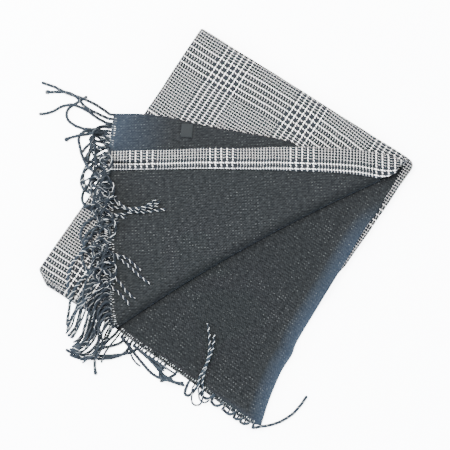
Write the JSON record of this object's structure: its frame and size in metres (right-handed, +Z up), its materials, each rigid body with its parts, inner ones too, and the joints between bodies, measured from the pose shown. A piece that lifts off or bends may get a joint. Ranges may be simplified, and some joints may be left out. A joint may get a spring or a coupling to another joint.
{
  "type": "blanket scarf",
  "caption": "Folded wool blanket scarf lying flat: checked face, dark reverse turned back over a diagonal fold, twisted fringe.",
  "frame": {"origin": "centre of the bounding box on the surface that the scarf lies on", "axes": "+Z up out of the surface, +Y towards the back corner of the stack, +X to the right, with the fringe at the left and the front"},
  "size_m": [0.5076, 0.5478, 0.026],
  "materials": {
    "check_face": "brushed wool twill, off-white and near-black glen check",
    "dark_face": "brushed wool twill, heathered near-black with faint pale flecks",
    "label": "black woven tape, bare",
    "fringe": "two-ply twisted wool yarn, blue-grey with white flecks"
  },
  "bodies": {
    "root": {"folded_stack": "check_face", "check_strip": "check_face", "lower_leaf": "dark_face", "turned_panel": "dark_face", "corner_flap": "dark_face", "label": "label", "fringe_lower": "fringe", "fringe_turned": "fringe", "fringe_flap": "fringe"}
  },
  "joints": []
}
